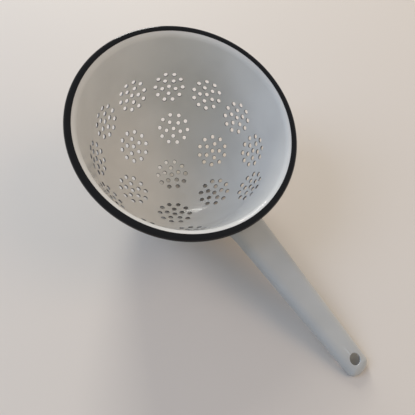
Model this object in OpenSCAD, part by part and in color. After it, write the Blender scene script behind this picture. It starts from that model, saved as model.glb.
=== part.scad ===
// Enamelled kitchen strainer with one straight handle, modelled as it rests on a table:
// the round bottom and the end of the handle both touch the plane z = 0.
// Design frame: bowl axis on Z, crest of the rim at z = 0, handle towards +X.
// rest() turns that frame into the resting one. All sizes are in millimetres.

/* [Bowl] */
// Diameter over the rolled rim
rim_d = 160; // [140:1:200]
// Depth from the crest of the rim to the inside of the bottom
bowl_depth = 92; // [80:1:100]
// Lean of the straight wall from upright, in degrees
wall_lean = 10.85; // [8:0.01:16]
// Thickness of the enamelled bowl sheet
sheet = 1.1; // [0.8:0.1:1.6]

/* [Rim] */
// Thickness of the rolled edge, black enamel included
bead_d = 5; // [4.4:0.1:7]
// Radius of the flare between the wall and the rolled edge
lip_r = 5.5; // [4.6:0.1:9]
// How far the sheet is rolled round, in degrees
curl_turn = 255; // [200:5:258]
// Space that the black enamel takes outside the sheet
coat = 0.3; // [0.2:0.05:0.4]
// Clearance between the black enamel and the sheet, so that the two solids stay apart
coat_gap = 0.08; // [0.05:0.01:0.12]
// How far the black enamel reaches in from the crest
coat_reach = 2.3; // [0.5:0.1:3.5]

/* [Perforation] */
// Diameter of one drain hole
hole_d = 3.4; // [2.5:0.1:4.5]
// Radius of the inner ring of five holes in a rosette
inner_ring_r = 6.5; // [5.5:0.1:7]
// Radius of the outer ring of ten holes in a rosette
outer_ring_r = 12.4; // [11.5:0.1:13]
// Angle from the bottom to the first ring of rosettes
first_angle = 37; // [34:0.5:40]
// Angle from the bottom to the second ring of rosettes
second_angle = 69.6; // [67:0.2:72]
// Width of the upper rosettes round the bowl against their height, as drawing narrows them
upper_width = 0.92; // [0.88:0.01:1]
// Turn of the first ring about the bowl's axis, away from the handle
first_turn = 23.6; // [0:0.1:60]
// How far the punched rings lean towards the handle
pattern_lean = 2.8; // [0:0.1:3]
// How far the middle rosette lies off the axis, in degrees
centre_lean = 1.9; // [0:0.1:3]
// Turn of the middle rosette
centre_turn = 330; // [0:1:360]

/* [Handle] */
// Length of the handle from the bowl's axis to its end
handle_reach = 205; // [150:1:260]
// Depth of the handle's top below the rim, taken at the bowl's axis
handle_drop = 25; // [22:0.5:28]
// How much the handle rises outwards from the plane of the rim, in degrees
handle_rise = 2; // [0:0.5:4]
// Width of the handle where it meets the bowl
root_w = 26.7; // [22:0.1:30]
// Width of the handle near its end
end_w = 17; // [16.6:0.1:22]
// Height of the handle's side near the bowl
root_flank = 8.5; // [7:0.1:11]
// Height of the handle's side at its end
end_flank = 6.5; // [6:0.1:7]
// Length at the tip over which the lower edge is drawn up, so that the end stands on its corners
toe_length = 3; // [2.5:0.1:3]
// How far the lower edge is drawn up at the tip
toe_rise = 1.3; // [1.3:0.1:2]
// Thickness of the enamelled handle sheet
handle_sheet = 1.2; // [1:0.1:1.8]
// Width of the rounded shoulder along the top
shoulder_w = 6; // [4.5:0.1:6.5]
// Height of the rounded shoulder along the top
shoulder_h = 4.5; // [3:0.1:5]
// Radius of the curved end
end_arc_r = 13; // [11.5:0.5:20]
// Radius of the corners of the end
corner_r = 4; // [2:0.5:5]
// Diameter of the hanging hole
hang_d = 7.8; // [5:0.1:9]
// Distance from the end to the middle of the hanging hole
hang_inset = 10.8; // [10:0.1:16]

/* [Handle foot] */
// Radius of the hollow where the sides deepen towards the bowl
web_r = 14; // [10:0.5:16]
// Distance from the bowl's axis to where the sides start to deepen
web_start = 84; // [83:0.5:100]
// Width of each ear that lies on the bowl
ear_w = 7; // [5.5:0.1:9]
// Height of the tab that lies on the bowl above the handle
tab_h = 6; // [4:0.1:7]
// Corner radius of the ears and the tab
ear_corner_r = 2.5; // [1:0.1:2.7]
// Diameter of a spot weld
weld_d = 4; // [3:0.1:5]
// Gap between foot and bowl that the welds bridge
weld_gap = 0.3; // [0.2:0.05:0.6]

/* [Hidden] */
$fn = 96;

// Colours as photographed
enamel_white = "#D9DCD8";
enamel_black = "#0E0E10";
weld_grey = "#8A8C8C";

// The wall is a straight line that touches the arc of the lip and the round bottom,
// so the radius of the bottom follows from the rim, the depth and the wall's lean
curl_r = bead_d / 2 - coat;
curl_pos = [rim_d / 2 - bead_d / 2, -bead_d / 2];
lip_pos = [curl_pos[0], -coat - lip_r];
outward = [cos(wall_lean), -sin(wall_lean)];
bottom_r = (lip_pos * outward - bowl_depth * sin(wall_lean) - lip_r) / (1 - sin(wall_lean));
ball_z = bottom_r - bowl_depth;
function wall_foot(offset) = [0, ball_z] + (bottom_r + offset) * outward;
function wall_head(offset) = lip_pos - (lip_r - offset) * outward;
crossing = 0.003;

// Drain holes: six rosettes in the first ring, twelve places in the second,
// where the place behind the handle is left out
inner_count = 5;
outer_count = 10;
first_count = 6;
second_count = 12;
punch_in = 6;
punch_out = 5;

// Spots that the foot of the handle is built on
foot_gap = sheet + weld_gap;
foot_back = foot_gap + handle_sheet;
foot_top = -handle_drop + (bottom_r + foot_back) * sin(handle_rise);
web_depth = root_flank + web_r;
ear_top = foot_top - shoulder_h;
ear_bottom = foot_top - web_depth - 1;
ear_half = root_w / 2 + ear_w;
tab_half = root_w / 2 - shoulder_w + 1;
weld_y = root_w / 2 + ear_w / 2;
weld_edge = weld_d / 2 + 2;

// The plan of the handle starts inside the bowl and is trimmed to its wall
plan_start = 40;
plan_root = bottom_r;
shoulder_steps = 6;

// Resting position: the lowest point of the ball and the corners of the handle's end share one plane
ball_r = bottom_r + sheet;
toe_reach = handle_reach - toe_length;
end_low = [toe_reach * cos(handle_rise) + end_flank * sin(handle_rise),
    -handle_drop + toe_reach * sin(handle_rise) - end_flank * cos(handle_rise)];
tilt = asin(ball_r / norm([end_low[0], end_low[1] - ball_z])) + atan2(end_low[1] - ball_z, end_low[0]);
lift = ball_r - ball_z * cos(tilt);
nose = tilt - handle_rise;
rear_x = min(-curl_pos[0] * cos(tilt) + curl_pos[1] * sin(tilt) - bead_d / 2,
    ball_z * sin(tilt) - ball_r);
front_x = -handle_drop * sin(tilt) + (handle_reach - shoulder_w) * cos(nose) - shoulder_h * sin(nose)
    + norm([shoulder_w * cos(nose), shoulder_h * sin(nose)]);
middle_x = (front_x + rear_x) / 2;

module rest() {
    translate([-middle_x, 0, lift]) rotate([0, tilt, 0]) children();
}

module handle_frame() {
    translate([0, 0, -handle_drop]) rotate([0, -handle_rise, 0]) children();
}

// Part of a flat ring between two angles, about the origin
module ring_part(inner_r, outer_r, from, to) {
    fan_r = 2 * outer_r;
    steps = 6;
    intersection() {
        difference() {
            circle(outer_r);
            circle(inner_r);
        }
        polygon(concat([[0, 0]], [for (i = [0 : steps])
            let (a = from + (to - from) * i / steps) fan_r * [cos(a), sin(a)]]));
    }
}

// Profile of all that lies inside a skin parallel to the bowl's inner face: round bottom,
// straight wall and flared lip, as far out as edge_r. The wall cuts both arcs by a hair,
// so that they cross cleanly.
module core_profile(offset, edge_r, top) {
    foot = wall_foot(offset) - crossing * outward;
    head = wall_head(offset) + crossing * outward;
    difference() {
        union() {
            intersection() {
                translate([0, ball_z]) circle(bottom_r + offset);
                translate([0, -2 * bowl_depth]) square([rim_d, 2 * bowl_depth + max(ball_z, foot[1])]);
            }
            polygon([[0, ball_z - 1], [foot[0] / 2, ball_z - 1], foot, head,
                [edge_r, head[1]], [edge_r, top], [0, top]]);
        }
        translate(lip_pos) circle(lip_r - offset);
    }
}

// Profile of a skin that follows the bowl, between two distances outside its inner face
module wall_profile(near, far) {
    difference() {
        core_profile(far, lip_pos[0], 1);
        core_profile(near, lip_pos[0] + 1, 2);
    }
}

// Sixteen punches square to the sheet: one in the middle, then rings of five and ten
module rosette_punch(angle, turn, width = 1) {
    module punch() translate([0, 0, bottom_r - punch_in])
        cylinder(d = hole_d, h = punch_in + sheet + punch_out);
    rotate([0, 180 - angle, turn]) {
        punch();
        for (i = [0 : inner_count - 1])
            off_middle(inner_ring_r, 360 * i / inner_count) punch();
        for (i = [0 : outer_count - 1])
            off_middle(outer_ring_r, 360 * (i + 0.5) / outer_count) punch();
    }
    module off_middle(ring_r, around) {
        spot = ring_r * [cos(around), width * sin(around)];
        rotate([0, 0, atan2(spot[1], spot[0])]) rotate([0, asin(norm(spot) / bottom_r), 0]) children();
    }
}

module drain_holes() {
    translate([0, 0, ball_z]) {
        rotate([0, -centre_lean, 0]) rosette_punch(0, centre_turn);
        rotate([0, -pattern_lean, 0]) {
            for (i = [0 : first_count - 1])
                rosette_punch(first_angle, first_turn + 360 * i / first_count);
            for (i = [1 : second_count - 1])
                rosette_punch(second_angle, 360 * i / second_count, upper_width);
        }
    }
}

// Pressed, perforated bowl with a flared lip and a rolled edge, one sheet throughout
module bowl() {
    color(enamel_white) rest() difference() {
        rotate_extrude() {
            wall_profile(0, sheet);
            translate(curl_pos) ring_part(curl_r - sheet, curl_r, 90 - curl_turn, 90);
        }
        drain_holes();
    }
}

// Black enamel fired over the rolled edge
module rim_trim() {
    reach = asin(coat_reach / lip_r);
    color(enamel_black) rest() rotate_extrude() {
        translate(lip_pos) ring_part(lip_r + coat_gap, lip_r + coat, 90, 90 + reach);
        translate(curl_pos) ring_part(curl_r + coat_gap, curl_r + coat, 90 - curl_turn, 90);
    }
}

// Outline of the handle from above, drawn in by a margin all round: straight sides that
// taper, rounded corners and a curved end. Each outline has the same number of points.
taper = atan((root_w - end_w) / 2 / (handle_reach - plan_root));
side_dir = [cos(taper), -sin(taper)];
side_normal = [sin(taper), cos(taper)];
end_centre = [handle_reach - end_arc_r, 0];
corner_steps = 5;
end_steps = 10;
function side_point(u, margin) =
    [u, (root_w / 2 - (u - plan_root) * tan(taper)) - margin / cos(taper)];
function plan_half(margin) =
    let (round_r = max(corner_r - margin, 0.3),
        across = (side_point(plan_root, margin) - end_centre) * side_normal - round_r,
        out = end_arc_r - margin - round_r,
        middle = across * side_normal + sqrt(out * out - across * across) * side_dir,
        from = 90 - taper,
        to = atan2(middle[1], middle[0]))
    concat([side_point(plan_start, margin)],
        [for (i = [0 : corner_steps]) let (a = from + (to - from) * i / corner_steps)
            end_centre + middle + round_r * [cos(a), sin(a)]],
        [for (i = [1 : end_steps / 2 - 1]) let (a = to * (1 - 2 * i / end_steps))
            end_centre + (end_arc_r - margin) * [cos(a), sin(a)]]);
function handle_plan(margin) =
    let (half = plan_half(margin), n = len(half))
    concat(half, [[handle_reach - margin, 0]], [for (i = [n - 1 : -1 : 0]) [half[i][0], -half[i][1]]]);

// The handle's body with a flat top and rounded shoulders, drawn in by a margin
module handle_block(margin, depth) {
    rings = concat([[margin, -depth]], [for (i = [0 : shoulder_steps]) let (a = 90 * i / shoulder_steps)
        [margin + (shoulder_w - margin) * (1 - cos(a)), -margin - (shoulder_h - margin) * (1 - sin(a))]]);
    n = len(handle_plan(0));
    last = (len(rings) - 1) * n;
    polyhedron(
        points = [for (ring = rings) for (p = handle_plan(ring[0])) [p[0], p[1], ring[1]]],
        faces = concat(
            [[for (i = [n - 1 : -1 : 0]) i]],
            [for (k = [0 : len(rings) - 2]) for (i = [0 : n - 1]) for (half = [0, 1])
                let (a = k * n + i, b = k * n + (i + 1) % n)
                half == 0 ? [a, b, a + n] : [b, b + n, a + n]],
            [[for (i = [0 : n - 1]) last + i]]));
}

// Side view of the handle: shallow sides that deepen in a hollow towards the bowl
module handle_side() {
    hollow_steps = 10;
    past_tip = 1;
    polygon(concat([[plan_start + 1, 1], [handle_reach + past_tip, 1],
        [handle_reach + past_tip, -end_flank + toe_rise * (toe_length + past_tip) / toe_length],
        [toe_reach, -end_flank]],
        [for (i = [0 : hollow_steps]) let (a = 90 + 90 * i / hollow_steps)
            [web_start + web_r * cos(a), -web_depth + web_r * sin(a)]],
        [[plan_start + 1, -web_depth]]));
}

// Flat outline of the ears and the tab, seen along the handle
module foot_outline() {
    module rounded(half_w, low, high) {
        translate([-half_w + ear_corner_r, low]) square([2 * (half_w - ear_corner_r), high - low]);
        translate([-half_w, low + ear_corner_r]) square([2 * half_w, high - low - 2 * ear_corner_r]);
        for (y = [-1, 1], z = [low + ear_corner_r, high - ear_corner_r])
            translate([y * (half_w - ear_corner_r), z]) circle(ear_corner_r);
    }
    rounded(ear_half, ear_bottom, ear_top);
    rounded(tab_half, ear_bottom, foot_top + tab_h);
}

module handle_foot() {
    intersection() {
        rotate_extrude() wall_profile(foot_gap, foot_back);
        translate([plan_start, 0, 0]) rotate([90, 0, 90]) linear_extrude(rim_d / 2) foot_outline();
    }
}

// Pressed channel handle: open below, closed at its end, with a foot that lies on the bowl
module handle() {
    color(enamel_white) rest() difference() {
        union() {
            difference() {
                handle_frame() intersection() {
                    handle_block(0, web_depth + 1);
                    rotate([90, 0, 0]) translate([0, 0, -root_w]) linear_extrude(2 * root_w) handle_side();
                }
                rotate_extrude() core_profile(foot_gap + handle_sheet / 2, lip_pos[0], 1);
            }
            handle_foot();
        }
        handle_frame() {
            handle_block(handle_sheet, web_depth + web_r);
            translate([handle_reach - hang_inset, 0, -end_flank]) cylinder(d = hang_d, h = end_flank * 2);
        }
    }
}

// Spot welds between the bowl and the ears and tab of the foot
module handle_welds() {
    color(weld_grey) rest() intersection() {
        rotate_extrude() wall_profile(sheet, foot_gap);
        translate([plan_start, 0, 0]) rotate([0, 90, 0]) {
            for (y = [-weld_y, weld_y], z = [ear_top - weld_edge, ear_bottom + weld_edge])
                translate([-z, y, 0]) cylinder(d = weld_d, h = rim_d / 2);
            translate([-foot_top - tab_h / 2, 0, 0]) cylinder(d = weld_d, h = rim_d / 2);
        }
    }
}

bowl();
rim_trim();
handle();
handle_welds();
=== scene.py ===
"""Enamelled kitchen strainer, resting on its round bottom and on the end of its handle."""
import math
import bpy
import bmesh
from mathutils import Matrix, Vector


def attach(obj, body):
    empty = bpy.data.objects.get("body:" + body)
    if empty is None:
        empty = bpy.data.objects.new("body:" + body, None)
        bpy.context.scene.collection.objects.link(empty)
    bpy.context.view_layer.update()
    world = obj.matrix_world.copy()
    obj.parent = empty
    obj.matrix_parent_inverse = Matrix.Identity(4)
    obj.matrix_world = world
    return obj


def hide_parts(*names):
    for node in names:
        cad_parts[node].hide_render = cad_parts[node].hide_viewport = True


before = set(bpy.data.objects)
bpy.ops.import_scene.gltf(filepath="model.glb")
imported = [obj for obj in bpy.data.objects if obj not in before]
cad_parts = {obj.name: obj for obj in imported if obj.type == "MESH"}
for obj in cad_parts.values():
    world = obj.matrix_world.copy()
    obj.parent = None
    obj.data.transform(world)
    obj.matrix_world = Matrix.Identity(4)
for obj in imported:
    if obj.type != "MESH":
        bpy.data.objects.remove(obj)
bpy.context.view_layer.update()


# The bowl: one disc of sheet steel, punched with rosettes of drain holes, drawn deep, flared
# at the lip and rolled outwards round the edge, then dipped in white enamel and fired.
# It rests tilted, so its mesh is made upright about the z axis and then laid down.
MM = 0.001
SHEET = 1.1 * MM
BOTTOM_R = 67 * MM
BALL_Z = -25 * MM
CURL_R = 2.2 * MM
CURL_AT = (77.5 * MM, -2.5 * MM)
LIP_R = 5.5 * MM
LIP_AT = (77.5 * MM, -5.8 * MM)
CURL_TURN = 255
TILT = math.radians(19.848)
RIM_MIDDLE = (-54.421 * MM, 0, 91.615 * MM)
REST = Matrix.Translation(RIM_MIDDLE) @ Matrix.Rotation(TILT, 4, "Y")
WALL_ANGLE = math.acos((LIP_R + BOTTOM_R) / math.hypot(LIP_AT[0], LIP_AT[1] - BALL_Z)) - math.atan2(
    LIP_AT[1] - BALL_Z, LIP_AT[0]
)


def arc(centre, radius, start, stop, steps):
    """Points of an arc in the (radius, height) plane, angles in radians from outwards."""
    turns = [start + (stop - start) * i / steps for i in range(steps + 1)]
    return [(centre[0] + radius * math.cos(a), centre[1] + radius * math.sin(a)) for a in turns]


def sheet_face(offset, ball_steps=60, wall_steps=14, lip_steps=12):
    """One face of the bowl's sheet from the bottom to the crest, offset from the inner face."""
    ball = arc((0, BALL_Z), BOTTOM_R + offset, -math.pi / 2, -WALL_ANGLE, ball_steps)
    lip = arc(LIP_AT, LIP_R - offset, math.pi - WALL_ANGLE, math.pi / 2, lip_steps)
    ends = list(zip(ball[-1], lip[0]))
    wall = [tuple(low + (high - low) * i / wall_steps for low, high in ends) for i in range(1, wall_steps)]
    return ball + wall + lip


def lathe(name, profile, turns, closed=False):
    """A mesh object turned about the z axis from a profile of (radius, height) points."""
    mesh = bmesh.new()
    rings = []
    for radius, height in profile:
        if radius < 1e-7:
            rings.append([mesh.verts.new((0, 0, height))] * turns)
        else:
            rings.append(
                [
                    mesh.verts.new((radius * math.cos(a), radius * math.sin(a), height))
                    for a in (2 * math.pi * i / turns for i in range(turns))
                ]
            )
    pairs = list(zip(rings, rings[1:] + ([rings[0]] if closed else [])))
    for low, high in pairs if closed else pairs[: len(rings) - 1]:
        for i in range(turns):
            j = (i + 1) % turns
            corners = []
            for v in (low[i], low[j], high[j], high[i]):
                if v not in corners:
                    corners.append(v)
            mesh.faces.new(corners)
    bmesh.ops.recalc_face_normals(mesh, faces=mesh.faces)
    data = bpy.data.meshes.new(name)
    mesh.to_mesh(data)
    mesh.free()
    made = bpy.data.objects.new(name, data)
    bpy.context.scene.collection.objects.link(made)
    return made


curl_end = math.pi / 2 - math.radians(CURL_TURN)
curl_middle = CURL_R - SHEET / 2
edge_centre = arc(CURL_AT, curl_middle, curl_end, curl_end, 1)[0]
bowl_profile = (
    sheet_face(0)
    + arc(CURL_AT, CURL_R, math.pi / 2, curl_end, 24)[1:]
    + arc(edge_centre, SHEET / 2, curl_end, curl_end - math.pi, 6)[1:-1]
    + arc(CURL_AT, CURL_R - SHEET, curl_end, math.pi / 2, 18)
    + sheet_face(SHEET)[-2::-1]
)
bowl = lathe("enamel_bowl", bowl_profile, turns=192)


def add_node(tree, kind, settings=(), links=()):
    """A node with its settings and links, by name, or by number where sockets share a name."""
    node = tree.nodes.new(kind)
    for key, value in dict(settings).items():
        if isinstance(key, int) or key in node.inputs:
            node.inputs[key].default_value = value
        else:
            setattr(node, key, value)
    for key, socket in dict(links).items():
        tree.links.new(socket, node.inputs[key])
    return node


def punched_holes():
    """Geometry Nodes: the drain holes, in rosettes of one, five and ten, with eased edges."""
    tree = bpy.data.node_groups.new("drain_holes", "GeometryNodeTree")
    face = tree.interface
    face.new_socket("Geometry", in_out="OUTPUT", socket_type="NodeSocketGeometry")
    sizes = {}
    face.new_socket("Geometry", in_out="INPUT", socket_type="NodeSocketGeometry")
    for name, kind, value in (
        ("Hole Radius", "NodeSocketFloat", 1.7 * MM),
        ("Edge Radius", "NodeSocketFloat", 0.4 * MM),
        ("Sheet", "NodeSocketFloat", SHEET),
        ("Past The Sheet", "NodeSocketFloat", 0.3 * MM),
        ("Ball Radius", "NodeSocketFloat", BOTTOM_R),
        ("Ball Height", "NodeSocketFloat", BALL_Z),
        ("Inner Ring", "NodeSocketFloat", 6.5 * MM),
        ("Outer Ring", "NodeSocketFloat", 12.4 * MM),
        ("Upper Width", "NodeSocketFloat", 0.92),
        ("First Angle", "NodeSocketFloat", math.radians(180 - 37)),
        ("First Turn", "NodeSocketFloat", math.radians(23.6)),
        ("Second Angle", "NodeSocketFloat", math.radians(180 - 69.6)),
        ("Pattern Lean", "NodeSocketFloat", math.radians(-2.8)),
        ("Middle Lean", "NodeSocketFloat", math.radians(-1.9)),
        ("Middle Turn", "NodeSocketFloat", math.radians(330)),
        ("Bare Edge", "NodeSocketMaterial", None),
    ):
        socket = face.new_socket(name, in_out="INPUT", socket_type=kind)
        if value is not None:
            socket.default_value = value
        sizes[name] = socket.identifier
    given = add_node(tree, "NodeGroupInput").outputs

    def maths(operation, *values):
        node = tree.nodes.new("ShaderNodeMath")
        node.operation = operation
        for i, value in enumerate(values):
            if isinstance(value, (int, float)):
                node.inputs[i].default_value = value
            else:
                tree.links.new(value, node.inputs[i])
        return node.outputs[0]

    # One punch: a cylinder along z about the middle of the sheet, flared at both faces
    half = maths("MULTIPLY", given["Sheet"], 0.5)
    reach = maths("ADD", half, given["Past The Sheet"])
    depth = maths("MULTIPLY", reach, 2)
    sides = {"Vertices": 20, "Side Segments": 10, "Radius": 1.0}
    blank = add_node(tree, "GeometryNodeMeshCylinder", sides, {"Depth": depth})
    place = add_node(tree, "GeometryNodeInputPosition").outputs[0]
    parts = add_node(tree, "ShaderNodeSeparateXYZ", {}, {0: place}).outputs
    height = maths("ABSOLUTE", parts["Z"])
    straight = maths("SUBTRACT", half, given["Edge Radius"])
    past = maths("MAXIMUM", maths("SUBTRACT", height, straight), 0.0)
    inside = maths("MINIMUM", past, given["Edge Radius"])
    square = maths(
        "SUBTRACT",
        maths("MULTIPLY", given["Edge Radius"], given["Edge Radius"]),
        maths("MULTIPLY", inside, inside),
    )
    flare = maths("SUBTRACT", given["Edge Radius"], maths("SQRT", maths("MAXIMUM", square, 0.0)))
    beyond = maths("MULTIPLY", maths("MAXIMUM", maths("SUBTRACT", height, half), 0.0), 0.5)
    wide = maths("ADD", maths("ADD", given["Hole Radius"], flare), beyond)
    shaped = add_node(
        tree,
        "ShaderNodeCombineXYZ",
        {},
        {"X": maths("MULTIPLY", parts["X"], wide), "Y": maths("MULTIPLY", parts["Y"], wide), "Z": parts["Z"]},
    ).outputs[0]
    punch = add_node(
        tree, "GeometryNodeSetPosition", {}, {"Geometry": blank.outputs["Mesh"], "Position": shaped}
    ).outputs[0]

    # One rosette: the middle, a ring of five and a ring of ten, each punch square to the sheet.
    # The upper ones are narrower round the bowl, as drawing the sheet leaves them
    middle = add_node(tree, "GeometryNodeMeshCircle", {"Vertices": 3, "Radius": 0.0}).outputs[0]
    middle = add_node(
        tree, "GeometryNodeMergeByDistance", {"Distance": 1e-6}, {"Geometry": middle}
    ).outputs[0]
    inner_r, outer_r = {"Radius": given["Inner Ring"]}, {"Radius": given["Outer Ring"]}
    five = add_node(tree, "GeometryNodeMeshCircle", {"Vertices": 5}, inner_r).outputs[0]
    ten = add_node(tree, "GeometryNodeMeshCircle", {"Vertices": 10}, outer_r).outputs[0]
    ten = add_node(
        tree, "GeometryNodeTransform", {"Rotation": (0, 0, math.radians(18))}, {"Geometry": ten}
    ).outputs[0]
    spots = tree.nodes.new("GeometryNodeJoinGeometry")
    for ring in (middle, five, ten):
        tree.links.new(ring, spots.inputs[0])
    flat = add_node(tree, "GeometryNodeInputPosition").outputs[0]
    out = add_node(tree, "ShaderNodeVectorMath", {"operation": "LENGTH"}, {0: flat}).outputs["Value"]
    ball_square = maths("MULTIPLY", given["Ball Radius"], given["Ball Radius"])
    rise = maths("SQRT", maths("SUBTRACT", ball_square, maths("MULTIPLY", out, out)))
    lift = add_node(tree, "ShaderNodeCombineXYZ", {}, {"Z": rise}).outputs[0]
    raised = add_node(tree, "ShaderNodeVectorMath", {"operation": "ADD"}, {0: flat, 1: lift}).outputs[0]
    to_middle = maths("ADD", maths("DIVIDE", half, given["Ball Radius"]), 1.0)
    raised = add_node(
        tree, "ShaderNodeVectorMath", {"operation": "SCALE"}, {0: raised, "Scale": to_middle}
    ).outputs[0]
    outwards = add_node(tree, "FunctionNodeAlignRotationToVector", {"axis": "Z"}, {"Vector": flat}).outputs[0]

    def rosette(width):
        scale = add_node(tree, "ShaderNodeCombineXYZ", {"X": 1.0, "Z": 1.0}, {"Y": width}).outputs[0]
        drawn = {"Geometry": spots.outputs[0], "Scale": scale}
        drawn = add_node(tree, "GeometryNodeTransform", {}, drawn).outputs[0]
        drawn = {"Geometry": drawn, "Position": raised}
        drawn = add_node(tree, "GeometryNodeSetPosition", {}, drawn).outputs[0]
        drawn = {"Points": drawn, "Instance": punch, "Rotation": outwards}
        drawn = add_node(tree, "GeometryNodeInstanceOnPoints", {}, drawn).outputs[0]
        return add_node(tree, "GeometryNodeRealizeInstances", {}, {"Geometry": drawn}).outputs[0]

    round_rosette, upper_rosette = rosette(maths("ADD", 1.0, 0.0)), rosette(given["Upper Width"])

    # The places of the rosettes round the bowl; the last ring leaves out the one at the handle
    def ring_of_rosettes(rosette, count, first, angle, turn, step):
        points = add_node(tree, "GeometryNodePoints", {"Count": count}).outputs[0]
        number = add_node(tree, "GeometryNodeInputIndex").outputs[0]
        around = maths("ADD", maths("MULTIPLY", maths("ADD", number, first), step), turn)
        euler = add_node(tree, "ShaderNodeCombineXYZ", {}, {"Y": angle, "Z": around}).outputs[0]
        rotation = add_node(tree, "FunctionNodeEulerToRotation", {}, {"Euler": euler}).outputs[0]
        placed = {"Points": points, "Instance": rosette, "Rotation": rotation}
        return add_node(tree, "GeometryNodeInstanceOnPoints", {}, placed).outputs[0]

    sixth, twelfth, off_seams = math.radians(60), math.radians(30), 0.0001
    first_ring = ring_of_rosettes(round_rosette, 6, 0, given["First Angle"], given["First Turn"], sixth)
    second_ring = ring_of_rosettes(upper_rosette, 11, 1, given["Second Angle"], off_seams, twelfth)
    bottom = ring_of_rosettes(round_rosette, 1, 0, maths("ADD", 0.0, math.pi), given["Middle Turn"], 0.0)
    rings = tree.nodes.new("GeometryNodeJoinGeometry")
    leans = ((first_ring, "Pattern Lean"), (second_ring, "Pattern Lean"), (bottom, "Middle Lean"))
    for ring, lean in leans:
        turn = add_node(tree, "ShaderNodeCombineXYZ", {}, {"Y": given[lean]}).outputs[0]
        move = add_node(tree, "ShaderNodeCombineXYZ", {}, {"Z": given["Ball Height"]}).outputs[0]
        laid = {"Geometry": ring, "Rotation": turn, "Translation": move}
        leant = add_node(tree, "GeometryNodeTransform", {}, laid).outputs[0]
        tree.links.new(leant, rings.inputs[0])
    punches = add_node(tree, "GeometryNodeRealizeInstances", {}, {"Geometry": rings.outputs[0]}).outputs[0]
    punches = add_node(
        tree, "GeometryNodeSetMaterial", {}, {"Geometry": punches, "Material": given["Bare Edge"]}
    ).outputs[0]
    cut = add_node(tree, "GeometryNodeMeshBoolean", {"operation": "DIFFERENCE", "solver": "MANIFOLD"})
    tree.links.new(given["Geometry"], cut.inputs["Mesh 1"])
    tree.links.new(punches, cut.inputs["Mesh 2"])
    end = tree.nodes.new("NodeGroupOutput")
    tree.links.new(cut.outputs["Mesh"], end.inputs[0])
    return tree, sizes


holes, hole_sizes = punched_holes()


def colour(code):
    """A hex sRGB colour as linear RGBA."""
    parts = [int(code[i : i + 2], 16) / 255 for i in (1, 3, 5)]
    return tuple(c / 12.92 if c <= 0.04045 else ((c + 0.055) / 1.055) ** 2.4 for c in parts) + (1.0,)


def white_enamel(name, thin, thick):
    """White titanium enamel on a grey ground coat: glassy, a little uneven in thickness and tone."""
    material = bpy.data.materials.new(name)
    material.use_nodes = True
    tree = material.node_tree
    tree.nodes.clear()
    where = add_node(tree, "ShaderNodeTexCoord").outputs["Object"]
    # The coat runs thinner and thicker over some 30 mm, which shifts the white a little
    soft = {"Scale": 30.0, "Detail": 2.0, "Roughness": 0.5}
    cloud = add_node(tree, "ShaderNodeTexNoise", soft, {"Vector": where})
    tone = add_node(tree, "ShaderNodeValToRGB", {}, {"Fac": cloud.outputs["Fac"]})
    tone.color_ramp.elements[0].position = 0.35
    tone.color_ramp.elements[0].color = colour(thin)
    tone.color_ramp.elements[1].position = 0.65
    tone.color_ramp.elements[1].color = colour(thick)
    # Dark pin marks in the glass, about one every 12 mm and 0.4 mm across
    pins = add_node(tree, "ShaderNodeTexVoronoi", {"Scale": 85.0}, {"Vector": where})
    fade = {1: 0.0, 2: 0.035, 3: 1.0, 4: 0.0}
    pin = add_node(tree, "ShaderNodeMapRange", fade, {0: pins.outputs["Distance"]})
    rare = add_node(tree, "ShaderNodeSeparateColor", {}, {0: pins.outputs["Color"]})
    chosen = add_node(tree, "ShaderNodeMath", {"operation": "GREATER_THAN", 1: 0.82}, {0: rare.outputs[0]})
    both = {0: pin.outputs[0], 1: chosen.outputs[0]}
    dot = add_node(tree, "ShaderNodeMath", {"operation": "MULTIPLY"}, both)
    spotted = add_node(
        tree,
        "ShaderNodeMix",
        {"data_type": "RGBA", 7: colour("#6F6C66")},
        {0: dot.outputs[0], 6: tone.outputs["Color"]},
    )
    # The fired surface is smooth but gently rippled, some 5 mm from crest to crest
    ripple = add_node(tree, "ShaderNodeTexNoise", {"Scale": 160.0, "Detail": 1.0}, {"Vector": where})
    bump = add_node(
        tree, "ShaderNodeBump", {"Strength": 0.25, "Distance": 0.0001}, {"Height": ripple.outputs["Fac"]}
    )
    glass = add_node(
        tree,
        "ShaderNodeBsdfPrincipled",
        {"Roughness": 0.1, "IOR": 1.52},
        {"Base Color": spotted.outputs[2], "Normal": bump.outputs[0]},
    )
    add_node(tree, "ShaderNodeOutputMaterial", {}, {"Surface": glass.outputs[0]})
    return material


def bare_edge():
    """Where the white pulls back from a cut edge, the dark ground coat shows through."""
    material = bpy.data.materials.new("ground_coat_edge")
    material.use_nodes = True
    tree = material.node_tree
    tree.nodes.clear()
    where = add_node(tree, "ShaderNodeTexCoord").outputs["Object"]
    # The pull-back is uneven from hole to hole, over a few millimetres
    patches = add_node(tree, "ShaderNodeTexNoise", {"Scale": 260.0, "Detail": 2.0}, {"Vector": where})
    tone = add_node(tree, "ShaderNodeValToRGB", {}, {"Fac": patches.outputs["Fac"]})
    tone.color_ramp.elements[0].position = 0.38
    tone.color_ramp.elements[0].color = colour("#57585A")
    tone.color_ramp.elements[1].position = 0.62
    tone.color_ramp.elements[1].color = colour("#9FA19F")
    dull = {"Roughness": 0.25, "IOR": 1.52}
    glass = add_node(tree, "ShaderNodeBsdfPrincipled", dull, {"Base Color": tone.outputs["Color"]})
    add_node(tree, "ShaderNodeOutputMaterial", {}, {"Surface": glass.outputs[0]})
    return material


def made_plain(piece, lay_down=True):
    """Turns a piece's evaluated shape into its plain mesh, laid down in the resting place."""
    shape = bpy.data.meshes.new_from_object(piece.evaluated_get(bpy.context.evaluated_depsgraph_get()))
    piece.modifiers.clear()
    piece.data = shape
    if lay_down:
        shape.transform(REST)


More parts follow.
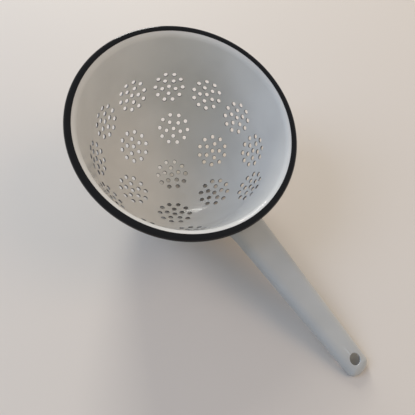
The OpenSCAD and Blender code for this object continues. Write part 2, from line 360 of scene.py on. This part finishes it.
def bowl_normal(place):
    """The skin's true normal at a point of the upright bowl, or None for a point off the skin."""
    radius, height, near = math.hypot(place.x, place.y), place.z, 0.004 * MM
    from_ball = Vector((radius, height - BALL_Z))
    from_lip = Vector((radius - LIP_AT[0], height - LIP_AT[1]))
    foot = math.sin(-WALL_ANGLE) * BOTTOM_R + BALL_Z
    along = Vector((math.cos(WALL_ANGLE), -math.sin(WALL_ANGLE)))
    if height <= foot + 1e-7:
        gap, normal = from_ball.length - BOTTOM_R, from_ball.normalized()
    elif from_lip.dot(Vector((along.y, -along.x))) < 0 or radius > LIP_AT[0]:
        return None
    else:
        gap, normal = from_ball.dot(along) - BOTTOM_R, along
    near_inner, near_outer = abs(gap) < near, abs(gap - SHEET) < near
    if not (near_inner or near_outer) or radius < 1e-7:
        return None
    flat = Vector((place.x / radius * normal.x, place.y / radius * normal.x, normal.y))
    return -flat if near_inner else flat


enamel = white_enamel("white_enamel", "#D5D4CE", "#DDDCD6")
bowl.data.materials.append(enamel)
cutter = bowl.modifiers.new("drain_holes", "NODES")
cutter.node_group = holes
ground_coat = bare_edge()
cutter[hole_sizes["Bare Edge"]] = ground_coat
made_plain(bowl, lay_down=False)
bowl.data.shade_smooth()
normals = []
for vertex in bowl.data.vertices:
    normals.append(bowl_normal(vertex.co) or vertex.normal)
bowl.data.normals_split_custom_set_from_vertices(normals)
bowl.data.transform(REST)
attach(bowl, "root")
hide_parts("bowl")


# The rim: black enamel laid over the rolled edge, thick enough to round it off. It ends a
# little way in over the lip, and its skin has faint waves.
COAT, COAT_GAP, COAT_REACH, COAT_TAPER = 0.3 * MM, 0.02 * MM, 2.3 * MM, 0.03
coat_start = math.pi / 2 + math.asin(COAT_REACH / LIP_R)
rim_profile = (
    arc(LIP_AT, LIP_R + COAT, coat_start - COAT_TAPER, math.pi / 2, 8)
    + arc(CURL_AT, CURL_R + COAT, math.pi / 2, curl_end, 36)[1:]
    + arc(CURL_AT, CURL_R + COAT_GAP, curl_end, math.pi / 2, 24)
    + arc(LIP_AT, LIP_R + COAT_GAP, math.pi / 2, coat_start, 6)[1:]
)
rim = lathe("black_rim", rim_profile, turns=256, closed=True)


def black_enamel():
    """Black enamel: deep, glassy and smooth, with faint waves where it was laid on the edge."""
    material = bpy.data.materials.new("black_enamel")
    material.use_nodes = True
    tree = material.node_tree
    tree.nodes.clear()
    where = add_node(tree, "ShaderNodeTexCoord").outputs["Object"]
    waves = add_node(tree, "ShaderNodeTexNoise", {"Scale": 110.0, "Detail": 2.0}, {"Vector": where})
    bump = add_node(
        tree, "ShaderNodeBump", {"Strength": 0.3, "Distance": 0.00015}, {"Height": waves.outputs["Fac"]}
    )
    tone = add_node(tree, "ShaderNodeValToRGB", {}, {"Fac": waves.outputs["Fac"]})
    tone.color_ramp.elements[0].color = colour("#070708")
    tone.color_ramp.elements[1].color = colour("#101012")
    glass = add_node(
        tree,
        "ShaderNodeBsdfPrincipled",
        {"Roughness": 0.12, "IOR": 1.4},
        {"Base Color": tone.outputs["Color"], "Normal": bump.outputs[0]},
    )
    add_node(tree, "ShaderNodeOutputMaterial", {}, {"Surface": glass.outputs[0]})
    return material


rim.data.materials.append(black_enamel())
rim.data.shade_smooth()
rim.data.transform(REST)
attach(rim, "root")
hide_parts("rim_trim")


# The handle: one steel blank pressed into a channel, open below and closed at its end. At the
# bowl its top turns up into a tab and its deep sides turn out into two ears, spot-welded to the
# wall before the white enamel went on.
REACH = 205 * MM
ROOT_WIDTH, END_WIDTH = 26.7 * MM, 17 * MM
SHOULDER_W, SHOULDER_H = 6 * MM, 4.5 * MM
END_ARC_R, CORNER_R = 13 * MM, 4 * MM
WEB_START, WEB_R, ROOT_FLANK, END_FLANK = 84 * MM, 14 * MM, 8.5 * MM, 6.5 * MM
TOE, TOE_RISE = 202 * MM, 1.3 * MM
HANDLE_SHEET, WELD_GAP, BEND = 1.2 * MM, 0.3 * MM, 1.6 * MM
EAR_W, TAB_H, EAR_CORNER, SHOULDER_GAP = 7 * MM, 6 * MM, 2.5 * MM, 0.05 * MM
RISE = math.radians(2)
ON_BOWL = Matrix.Translation((0, 0, -25 * MM)) @ Matrix.Rotation(-RISE, 4, "Y")
SIDE_STATIONS, CORNER_STEPS, END_STEPS, FLANK_ROWS, SHOULDER_ROWS, TOP_COLUMNS = 26, 8, 6, 6, 8, 6
taper = math.atan((ROOT_WIDTH - END_WIDTH) / 2 / (REACH - BOTTOM_R))


def half_width(u, margin):
    """Half the handle's width at a distance from the bowl's axis, drawn in by a margin."""
    return ROOT_WIDTH / 2 - (u - BOTTOM_R) * math.tan(taper) - margin / math.cos(taper)


def end_outline(margin):
    """Outline of the closed end from the start of its corner to its tip, drawn in by a margin."""
    round_r = max(CORNER_R - margin, 0.4 * MM)
    centre = Vector((REACH - END_ARC_R, 0))
    along, across = Vector((math.cos(taper), -math.sin(taper))), Vector((math.sin(taper), math.cos(taper)))
    side = Vector((BOTTOM_R, half_width(BOTTOM_R, margin)))
    height = (side - centre).dot(across) - round_r
    reach = math.sqrt((END_ARC_R - margin - round_r) ** 2 - height**2)
    corner = centre + height * across + reach * along
    start, stop = math.pi / 2 - taper, math.atan2(corner.y, corner.x - centre.x)
    rounded = arc(corner, round_r, start, stop, CORNER_STEPS)
    return rounded + arc(centre, END_ARC_R - margin, stop, 0, END_STEPS)[1:]


def lower_edge(u):
    """Height of the side's lower edge: shallow along the handle, in a hollow down to the ears."""
    if u > TOE:
        return -END_FLANK + TOE_RISE * (u - TOE) / (REACH - TOE)
    if u >= WEB_START:
        return -(ROOT_FLANK + (END_FLANK - ROOT_FLANK) * (u - WEB_START) / (TOE - WEB_START))
    back = min(WEB_START - u, WEB_R)
    return -ROOT_FLANK - WEB_R + math.sqrt(WEB_R**2 - back**2)


def skin_radius(height, offset):
    """Radius at which a skin outside the bowl's inner face stands, at a height of the upright bowl."""
    if height <= BALL_Z - (BOTTOM_R + offset) * math.sin(WALL_ANGLE):
        return math.sqrt((BOTTOM_R + offset) ** 2 - (height - BALL_Z) ** 2)
    return (BOTTOM_R + offset + (height - BALL_Z) * math.sin(WALL_ANGLE)) / math.cos(WALL_ANGLE)


def meets_skin(line, offset):
    """Where a line of the handle, given as a function of the distance from the axis, meets that skin."""
    low, high = 60 * MM, 100 * MM
    for _ in range(40):
        middle = (low + high) / 2
        spot = ON_BOWL @ line(middle)
        inside = math.hypot(spot.x, spot.y) < skin_radius(spot.z, offset)
        low, high = (middle, high) if inside else (low, middle)
    return high


foot_back, foot_gap = SHEET + WELD_GAP + HANDLE_SHEET, SHEET + WELD_GAP
rings = [(0.0, k / FLANK_ROWS, 0.0) for k in range(FLANK_ROWS + 1)]
for k in range(1, SHOULDER_ROWS + 1):
    lean = math.pi / 2 * k / SHOULDER_ROWS
    rings.append((SHOULDER_W * (1 - math.cos(lean)), 1.0, SHOULDER_H * math.sin(lean)))
stations = [(i / SIDE_STATIONS) ** 1.7 for i in range(SIDE_STATIONS + 1)]


def ring_height(ring, u):
    """Height of one ring of the pressed body at a distance from the axis."""
    margin, share, rise = ring
    low = lower_edge(u)
    return low + (-SHOULDER_H - low) * share + rise


def pressed_handle():
    """The handle's outer face as one grid of rings and stations, with the tab and ears."""
    mesh = bmesh.new()

    def vertex(u, y, height):
        return mesh.verts.new(ON_BOWL @ Vector((u, y, height)))

    def on_skin(y, height):
        return Vector((math.sqrt(skin_radius(height, foot_back) ** 2 - y**2), y, height))

    def bent(start, corner, stop):
        return [
            mesh.verts.new(start * (1 - t) ** 2 + corner * 2 * t * (1 - t) + stop * t**2)
            for t in (0.25, 0.5, 0.75, 1.0)
        ]

    grid, roots = [], []
    for number, ring in enumerate(rings):
        margin = ring[0]

        def line(u, ring=ring):
            return Vector((u, half_width(u, ring[0]), ring_height(ring, u)))

        bends = number <= FLANK_ROWS or number == len(rings) - 1
        if bends:
            root = meets_skin(line, foot_back) + BEND
        else:
            root = meets_skin(line, foot_gap) + SHOULDER_GAP
        roots.append(root - BEND)
        outline = end_outline(margin)
        sides = [(root + (outline[0][0] - root) * f, None) for f in stations[:-1]]
        left = [(u, half_width(u, margin)) for u, _ in sides] + list(outline)
        full = left + [(u, -y) for u, y in reversed(left[:-1])]
        grid.append([vertex(u, y, ring_height(ring, u)) for u, y in full])
    for low, high in zip(grid, grid[1:]):
        for i in range(len(low) - 1):
            mesh.faces.new((low[i], high[i], high[i + 1], low[i + 1]))

    # The flat top, in columns, up to the closed end
    top, last = grid[-1], len(grid[-1]) - 1
    columns = [top[: SIDE_STATIONS + 1]]
    corner_u = end_outline(SHOULDER_W)[0][0]
    for c in range(1, TOP_COLUMNS):
        share = 1 - 2 * c / TOP_COLUMNS
        root_y = half_width(roots[-1], SHOULDER_W) * share
        root = meets_skin(lambda u: Vector((u, root_y, 0)), foot_back) + BEND
        column = []
        for f in stations:
            u = root + (corner_u - root) * f
            column.append(vertex(u, half_width(u, SHOULDER_W) * share, 0))
        columns.append(column)
    columns.append([top[last - i] for i in range(SIDE_STATIONS + 1)])
    for left, right in zip(columns, columns[1:]):
        for i in range(SIDE_STATIONS):
            mesh.faces.new((left[i], right[i], right[i + 1], left[i + 1]))
    cap = top[SIDE_STATIONS : last - SIDE_STATIONS + 1] + [c[-1] for c in reversed(columns[1:-1])]
    mesh.faces.new(list(reversed(cap)))

    # The tab: the top turns up the wall of the bowl
    strips = []
    for column in columns:
        start = column[0].co.copy()
        here = ON_BOWL.inverted() @ start
        corner_u = meets_skin(lambda u, y=here.y: Vector((u, y, 0)), foot_back)
        corner = ON_BOWL @ Vector((corner_u, here.y, 0))
        edge = abs(here.y) - (abs((ON_BOWL.inverted() @ columns[0][0].co).y) - EAR_CORNER)
        crown = TAB_H - (EAR_CORNER - math.sqrt(max(EAR_CORNER**2 - max(edge, 0) ** 2, 0)))
        bend = bent(start, corner, on_skin(here.y, corner.z + BEND))
        rise = [on_skin(here.y, corner.z + BEND + (crown - BEND) * k / 4) for k in (1, 2, 3, 4)]
        strips.append([column[0]] + bend + [mesh.verts.new(p) for p in rise])
    for left, right in zip(strips, strips[1:]):
        for i in range(len(left) - 1):
            mesh.faces.new((left[i], left[i + 1], right[i + 1], right[i]))

    # The ears: the deep sides turn out along the wall
    for side in (1, -1):
        strips = []
        lines = [grid[k][0 if side > 0 else last] for k in range(FLANK_ROWS + 1)]
        corners = [
            ON_BOWL @ Vector((roots[k], side * half_width(roots[k], 0), ring_height(rings[k], roots[k])))
            for k in range(FLANK_ROWS + 1)
        ]
        low, high = corners[0].z - 1 * MM, corners[-1].z
        for k, (begin, corner) in enumerate(zip(lines, corners)):
            strip = [begin]
            bend_y = corner.y + side * BEND
            share = k / FLANK_ROWS
            strip += bent(begin.co.copy(), corner, on_skin(bend_y, low + (high - low) * share))
            for n in range(1, 7):
                y = bend_y + side * (EAR_W - BEND) * n / 6
                edge = max(abs(y) - (abs(corner.y) + EAR_W - EAR_CORNER), 0)
                inset = EAR_CORNER - math.sqrt(max(EAR_CORNER**2 - edge**2, 0))
                strip.append(mesh.verts.new(on_skin(y, low + inset + (high - low - 2 * inset) * share)))
            strips.append(strip)
        for lower, upper in zip(strips, strips[1:]):
            for i in range(len(lower) - 1):
                quad = (lower[i], lower[i + 1], upper[i + 1], upper[i])
                mesh.faces.new(quad)
    bmesh.ops.recalc_face_normals(mesh, faces=mesh.faces)
    mesh.faces.ensure_lookup_table()
    upward = sum(f.normal.z * f.calc_area() for f in mesh.faces)
    if upward < 0:
        bmesh.ops.reverse_faces(mesh, faces=mesh.faces)
    data = bpy.data.meshes.new("enamel_handle")
    mesh.to_mesh(data)
    mesh.free()
    made = bpy.data.objects.new("enamel_handle", data)
    bpy.context.scene.collection.objects.link(made)
    return made


handle = pressed_handle()
wall = handle.modifiers.new("sheet", "SOLIDIFY")
wall.thickness = HANDLE_SHEET
wall.offset = -1
wall.use_even_offset = True
wall.material_offset_rim = 1
# The handle's enamel is painted greyer than the bowl's, as painted shade for the bowl's shadow falling over
# it, and the ground coat shows along its cut edges
handle.data.materials.append(white_enamel("handle_enamel_painted_shade", "#B3B5B2", "#BBBDBA"))
handle.data.materials.append(ground_coat)
made_plain(handle, lay_down=False)

# The hanging hole is punched through the top near the end, with eased edges; the punch runs
# past both faces of the sheet and widens there
HANG_R, HANG_AT, HANG_EASE = 3.9 * MM, REACH - 10.8 * MM, 0.45 * MM
hole_profile = (
    [(0, 1.5 * MM), (HANG_R + 1.0 * MM, 1.5 * MM), (HANG_R + HANG_EASE + 0.1 * MM, 0.1 * MM)]
    + arc((HANG_R + HANG_EASE, -HANG_EASE), HANG_EASE, math.pi / 2, math.pi, 6)
    + arc((HANG_R + HANG_EASE, HANG_EASE - HANDLE_SHEET), HANG_EASE, math.pi, math.pi * 1.5, 6)
    + [(HANG_R + HANG_EASE + 0.1 * MM, -HANDLE_SHEET - 0.1 * MM), (HANG_R + 1.0 * MM, -3 * MM), (0, -3 * MM)]
)
hole_punch = lathe("hole_punch", hole_profile, 48)
hole_punch.data.transform(ON_BOWL @ Matrix.Translation((HANG_AT, 0, 0)))
cut = handle.modifiers.new("hanging_hole", "BOOLEAN")
cut.operation = "DIFFERENCE"
cut.solver = "MANIFOLD"
cut.object = hole_punch
ease = handle.modifiers.new("eased_edges", "BEVEL")
ease.width = 0.42 * MM
ease.segments = 3
ease.limit_method = "ANGLE"
ease.angle_limit = math.radians(50)
handle.data.shade_smooth()
even = handle.modifiers.new("even_shading", "WEIGHTED_NORMAL")
even.keep_sharp = False
made_plain(handle)
bpy.data.objects.remove(hole_punch)
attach(handle, "root")
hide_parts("handle")

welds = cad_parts["handle_welds"]
welds.data.materials.clear()
welds.data.materials.append(enamel)


# The table: a plain pale top that the strainer rests on.
def table_top():
    """Matt off-white table, a little warm."""
    material = bpy.data.materials.new("table_top")
    material.use_nodes = True
    tree = material.node_tree
    tree.nodes.clear()
    plain = {"Base Color": colour("#D4CDC3"), "Roughness": 0.75}
    matt = add_node(tree, "ShaderNodeBsdfPrincipled", plain)
    add_node(tree, "ShaderNodeOutputMaterial", {}, {"Surface": matt.outputs[0]})
    return material


floor_mesh = bpy.data.meshes.new("table")
half_side = 3
corners = [(x * half_side, y * half_side, 0) for x, y in ((-1, -1), (1, -1), (1, 1), (-1, 1))]
floor_mesh.from_pydata(corners, [], [(0, 1, 2, 3)])
floor = bpy.data.objects.new("table", floor_mesh)
bpy.context.scene.collection.objects.link(floor)
floor_mesh.materials.append(table_top())


# The light: a window low behind the object, at the top of the picture, a cool side on the left,
# a warm one on the right, and an even pale room.
BOWL_MIDDLE = Vector((-0.03, 0, 0.04))


def soft_lamp(name, place, width, height, watts, tint, mirrored):
    """A rectangular area lamp turned towards the bowl, which the enamel mirrors or not."""
    lamp = bpy.data.lights.new(name, "AREA")
    lamp.shape = "RECTANGLE"
    lamp.size, lamp.size_y = width, height
    lamp.energy = watts
    lamp.color = colour(tint)[:3]
    stand = bpy.data.objects.new(name, lamp)
    bpy.context.scene.collection.objects.link(stand)
    stand.location = place
    stand.rotation_euler = (BOWL_MIDDLE - Vector(place)).to_track_quat("-Z", "Y").to_euler()
    stand.visible_glossy = mirrored


soft_lamp("window", (-1.50, 0.77, 0.62), 0.50, 0.26, 9.6, "#FFFCF6", True)
soft_lamp("bright_wall", (-1.48, 0.75, 1.00), 0.6, 0.5, 11.5, "#FFFCF6", False)
soft_lamp("cool_side", (-0.70, -0.80, 1.05), 0.8, 0.8, 7.8, "#C3D9FF", False)
soft_lamp("warm_side", (0.70, 0.80, 1.05), 0.8, 0.8, 5.6, "#FFDEBE", False)
room = bpy.data.worlds.new("room")
bpy.context.scene.world = room
room.use_nodes = True
sky = room.node_tree.nodes["Background"].inputs
sky["Color"].default_value = colour("#F7FAFF")
sky["Strength"].default_value = 0.42


# The camera: above the rim, looking down into the bowl from the side opposite the handle.
camera_data = bpy.data.cameras.new("camera")
camera_data.lens = 32.3
camera = bpy.data.objects.new("camera", camera_data)
bpy.context.scene.collection.objects.link(camera)
camera.location = (0.08914, -0.10700, 0.27668)
camera.rotation_euler = [math.radians(a) for a in (31.423, -0.580, 49.852)]
camera_data.clip_start = 0.01
bpy.context.scene.camera = camera
bpy.context.scene.view_settings.view_transform = "Standard"
